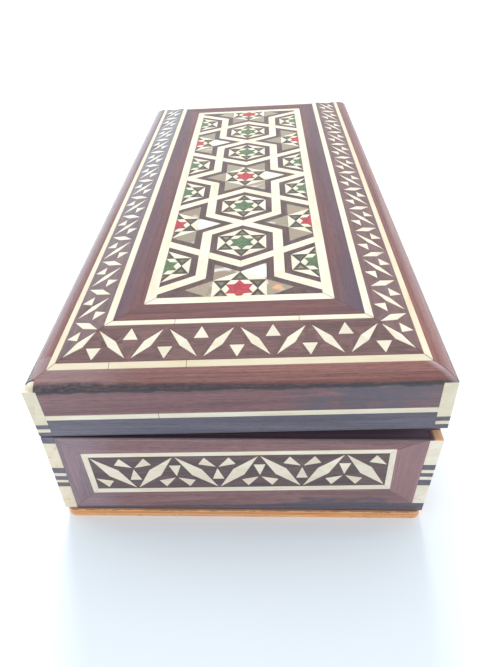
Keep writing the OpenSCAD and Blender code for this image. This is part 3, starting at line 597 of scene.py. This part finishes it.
def lid_looks():
    """The materials of the lid's board, posts, moulding, bands and inlay."""
    top_bone = bone("bone_top", "lid", "round")
    tile_bone = bone("bone_tiles", "lid", "x", rgb(0.73, 0.665, 0.515))
    return {
        "lid_foot_bands": wood("ebony_lid", "lid", "round", EBON, extra=seam_edge),
        "lid_post_ebony": wood("ebony_lid_posts", "lid", "x", EBON),
        "lid_post_bone": bone("bone_lid_posts", "lid", "x", rgb(0.74, 0.65, 0.47)),
        "lid_side_bands": wood("rosewood_sides", "lid", "round", ROSE, (1.0, 1.05, 1.25), top_seam),
        "lid_side_lines": bone("bone_sides", "lid", "round", rgb(0.80, 0.72, 0.55), SIDE_LINE_JOINTS),
        "lid_outer_line": bone("bone_outer", "lid", "round", rgb(0.69, 0.60, 0.425),
                               OUTER_LINE_JOINTS, mitred=True),
        "lid_inner_line": bone("bone_inner", "lid", "round", rgb(0.72, 0.66, 0.51),
                               INNER_LINE_JOINTS, mitred=True),
        "mosaic_frame": bone("bone_frame", "lid", "round", mitred=True),
        "lid_leaves": top_bone,
        "lid_triangles": top_bone,
        "mosaic_straps": tile_bone,
        "tile_triangles": tile_bone,
        "tile_kites": tile_bone,
        "lid_moulding": wood("rosewood_moulding", "lid", "round", ROSE, (1.15, 1.05, 0.95),
                             moulding_wear_and_highlights),
        "lid_field_band": wood("rosewood_field", "lid", "round", ROSE, (0.78, 0.69, 0.70), field_wear),
        "lid_leaf_ground": wood("dark_wood_lid", "lid", "round", DARK, (1.58, 1.34, 1.20)),
        "mosaic_ground": wood("ebony_mosaic", "lid", "y", DARK, (1.05, 1.05, 0.92)),
        "star_arms": wood("olive_dark", "lid", "x", OLIVE, shade=0.5),
        "arm_centres": wood("olive_wood", "lid", "x", OLIVE_LIGHT, shade=0.9),
        "mother_of_pearl": pearl("mother_of_pearl"),
        "red_stars": paste("red_paste", rgb(0.29, 0.018, 0.026), rgb(0.475, 0.045, 0.06)),
        "green_stars": paste("green_paste", rgb(0.050, 0.095, 0.040), rgb(0.105, 0.175, 0.075)),
        "lid_board": board("board_lid", "lid"),
    }


def base_looks():
    """The materials of the base's bottom plate, posts, borders and inlay."""
    base_bone = bone("bone_base", "base", "round", BONE_UPRIGHT)
    looks = {
        "bottom_plate": plywood(),
        "base_foot_strip": wood("ebony_foot", "base", "x", EBON, (0.8, 0.75, 0.75)),
        "base_leaves": base_bone,
        "base_triangles": base_bone,
        "base_post_bone": bone("bone_posts", "base", "x", BONE_UPRIGHT, extra=post_wear_and_light),
        "base_post_ebony": wood("ebony_posts", "base", "x", EBON),
    }
    for side in ("front", "right", "back", "left"):
        # The front's border has a real stain and painted reflections
        stain = front_stain_and_reflections if side == "front" else None
        looks["base_border_" + side] = wood("rosewood_" + side, "base", side, ROSE, (1.32, 1.55, 1.7), stain)
        looks["base_ground_" + side] = wood("dark_wood_" + side, "base", "round", DARK, (1.25, 1.25, 1.2))
        looks["base_line_" + side] = base_bone
    return looks


def dress():
    """Gives every CAD node its material."""
    looks = {**base_looks(), **lid_looks()}
    metal, cloth = brass(), velvet()
    base_board, lid_board = board("board_base", "base"), board("board_lid_walls", "lid")
    for side in ("front", "right", "back", "left"):
        looks["base_wall_" + side] = base_board
        looks["lid_wall_" + side] = lid_board
    for name, obj in NODES.items():
        mat = looks.get(name) or (metal if name.startswith("hinge") else cloth)
        for slot in obj.material_slots:
            slot.material = mat


# ---- Soft edges -----------------------------------------------------------------------

# How wide the rounding of an edge is, in millimetres, and in how many steps
EDGES_MM = {"lid_moulding": (0.35, 3), "bottom_plate": (0.3, 3), "base_post_bone": (0.12, 2),
            "lid_post_bone": (0.2, 2), "lid_post_ebony": (0.08, 2), "base_post_ebony": (0.08, 2)}
INLAY_EDGE = (0.08, 1)
SHARP = math.radians(35)
WELD_REACH = 1e-6


def soften():
    """Joins each node's corners and rounds its edges, so that joints show as fine lines."""
    for name, obj in NODES.items():
        weld = obj.modifiers.new("weld", "WELD")
        weld.merge_threshold = WELD_REACH
        width, segments = EDGES_MM.get(name, INLAY_EDGE)
        bevel = obj.modifiers.new("bevel", "BEVEL")
        bevel.width = width * MM
        bevel.segments = segments
        bevel.limit_method = "ANGLE"
        bevel.angle_limit = SHARP
        bevel.harden_normals = False


# ---- Velvet linings -------------------------------------------------------------------

# In millimetres: the thickness of the flat cards and of those on the walls, the gap round
# each, how far the walls' cards stay from the seam, the width of a rounded edge, how deep
# and how far apart the dips are where a card is glued down, and the mesh's widest step
PAD_T, LINER_T, GAP = 1.6, 1.2, 0.1
FROM_SEAM = 0.6
ROUNDING = 1.3
DIP, DIP_LENGTH = 0.16, 14.0
BIG_STEP = 5.0
EDGE_PLACES = (0.0, 0.12, 0.35, 0.75, ROUNDING, 2.2)


def spread(length):
    """Places along one side of a pad: close together at its rounded ends."""
    edge = EDGE_PLACES[-1]
    count = max(2, round((length - 2 * edge) / BIG_STEP))
    step = (length - 2 * edge) / count
    middle = [edge + step * i for i in range(1, count)]
    return list(EDGE_PLACES) + middle + [length - e for e in reversed(EDGE_PLACES)]


def pad_height(to_edge, at, thick):
    """A pad's height: rounded at the edge, and a little uneven where it's glued down."""
    t = min(to_edge / ROUNDING, 1.0)
    rounded = 0.3 + 0.7 * math.sqrt(1.0 - (1.0 - t) ** 2)
    dip = 0.5 + 0.5 * noise.noise(at / DIP_LENGTH)
    return thick * rounded - DIP * dip * t


def lining(name, body, node, corner, along, up, size, thick, turn=Matrix()):
    """A velvet-covered card. corner, along and up give its back, it faces the way of along
    cross up, and turn takes it to where its body rests."""
    facing = along.cross(up)
    us, vs = spread(size[0]), spread(size[1])
    points, faces = [], []
    for v in vs:
        for u in us:
            back = corner + along * u + up * v
            to_edge = min(u, v, size[0] - u, size[1] - v)
            points.append(back + facing * pad_height(to_edge, back, thick))
    wide, high = len(us), len(vs)
    for j in range(high - 1):
        for i in range(wide - 1):
            a = j * wide + i
            faces.append((a, a + 1, a + 1 + wide, a + wide))
    rim = list(range(wide))
    rim += [j * wide + wide - 1 for j in range(1, high)]
    rim += [(high - 1) * wide + i for i in reversed(range(wide - 1))]
    rim += [j * wide for j in reversed(range(1, high - 1))]
    start = len(points)
    for k in rim:
        u, v = us[k % wide], vs[k // wide]
        points.append(corner + along * u + up * v)
    for k in range(len(rim)):
        n = (k + 1) % len(rim)
        faces.append((start + k, start + n, rim[n], rim[k]))
    faces.append(tuple(reversed(range(start, start + len(rim)))))
    mesh = bpy.data.meshes.new(name)
    mesh.from_pydata([(turn @ p) * MM for p in points], [], faces)
    mesh.shade_smooth()
    mesh.materials.append(bpy.data.materials["velvet"])
    piece = new_object(name, mesh)
    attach(piece, body)
    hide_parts(node)


def line_box():
    """Linings on the floor, the ceiling and the walls, where their plain CAD solids are."""
    ajar = Matrix.Translation(HINGE) @ Matrix.Rotation(-AJAR, 4, "Y") @ Matrix.Translation(-HINGE)
    half_w, half_l = WIDTH / 2 - INSET, LENGTH / 2 - INSET
    flat = (2 * (half_w - GAP), 2 * (half_l - GAP))
    x, y, z = Vector((1, 0, 0)), Vector((0, 1, 0)), Vector((0, 0, 1))
    floor_corner = Vector((GAP - half_w, GAP - half_l, PLATE_T))
    ceiling_corner = Vector((half_w - GAP, GAP - half_l, BOARD_LOW))
    lining("velvet_floor", "base", "base_floor_pad", floor_corner, x, y, flat, PAD_T)
    lining("velvet_ceiling", "lid", "lid_ceiling_pad", ceiling_corner, -x, y, flat, PAD_T, ajar)
    for body, low, high, turn in (("base", PLATE_T + PAD_T + GAP, RIM - FROM_SEAM, Matrix()),
                                  ("lid", LID_LOW + FROM_SEAM, BOARD_LOW - PAD_T - GAP, ajar)):
        node = body + "_wall_liners"
        short, long = 2 * (half_w - GAP), 2 * (half_l - LINER_T - 2 * GAP)
        for side, corner, along, length in (
                ("front", Vector((half_w - GAP, -half_l, low)), -x, short),
                ("back", Vector((GAP - half_w, half_l, low)), x, short),
                ("left", Vector((-half_w, -long / 2, low)), y, long),
                ("right", Vector((half_w, long / 2, low)), -y, long)):
            name = "velvet_" + body + "_" + side
            lining(name, body, node, corner, along, z, (length, high - low), LINER_T, turn)


make_camera()
make_floor()
make_light()
dress()
line_box()
soften()
